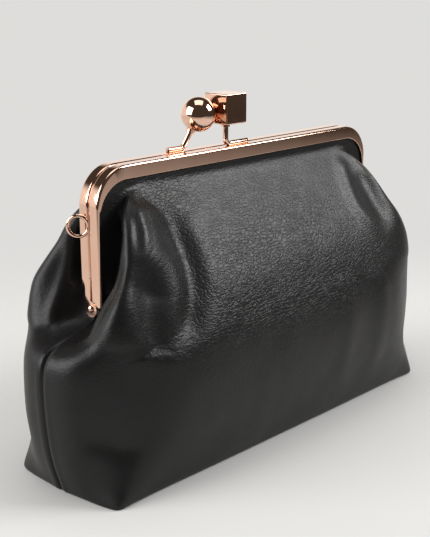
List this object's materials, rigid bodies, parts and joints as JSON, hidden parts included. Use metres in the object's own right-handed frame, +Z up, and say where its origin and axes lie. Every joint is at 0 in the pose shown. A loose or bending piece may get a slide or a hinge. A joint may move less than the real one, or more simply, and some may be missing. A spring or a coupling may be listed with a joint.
{
  "type": "kiss lock frame purse",
  "caption": "Soft black leather purse hung in a hinged polished rose-gold frame that snaps shut with a ball and cube kiss lock, with small loops on the frame for a strap.",
  "frame": {"origin": "middle of the flat base, on the surface that it stands on", "axes": "+X along the frame, +Z up; the front of the purse faces -Y"},
  "size_m": [0.259, 0.0896, 0.172],
  "materials": {
    "rose_gold_metal": "polished rose gold plate",
    "black_leather": "soft satin grain",
    "lining_cloth": "plain weave",
    "fibre_board": "raw pressed fibre",
    "paper_cord": "twisted paper"
  },
  "bodies": {
    "bag": {"front_leather": "black_leather", "rear_leather": "black_leather", "front_lining": "lining_cloth", "rear_lining": "lining_cloth", "base_panel": "black_leather", "base_board": "fibre_board", "base_lining": "lining_cloth"},
    "front_half": {"front_frame": "rose_gold_metal", "front_channel_cord": "paper_cord", "cube_stem": "rose_gold_metal", "cube_collar": "rose_gold_metal", "cube_knob": "rose_gold_metal"},
    "rear_half": {"rear_frame": "rose_gold_metal", "rear_channel_cord": "paper_cord", "ball_stem": "rose_gold_metal", "ball_collar": "rose_gold_metal", "ball_knob": "rose_gold_metal", "left_hinge_rivet": "rose_gold_metal", "right_hinge_rivet": "rose_gold_metal", "left_strap_loop": "rose_gold_metal", "right_strap_loop": "rose_gold_metal"}
  },
  "joints": [
    {"name": "front_half_hinge", "type": "hinge", "parent": "bag", "child": "front_half", "pos_m": [0, 0, 0.082], "axis": [1, 0, 0], "range_deg": [0, 30], "deforming": ["front_leather", "front_lining"]},
    {"name": "rear_half_hinge", "type": "hinge", "parent": "bag", "child": "rear_half", "pos_m": [0, 0, 0.082], "axis": [1, 0, 0], "range_deg": [-30, 0], "deforming": ["rear_leather", "rear_lining"]}
  ],
  "couplings": [
    {"joint": "rear_half_hinge", "follows": "front_half_hinge", "ratio": -1}
  ]
}
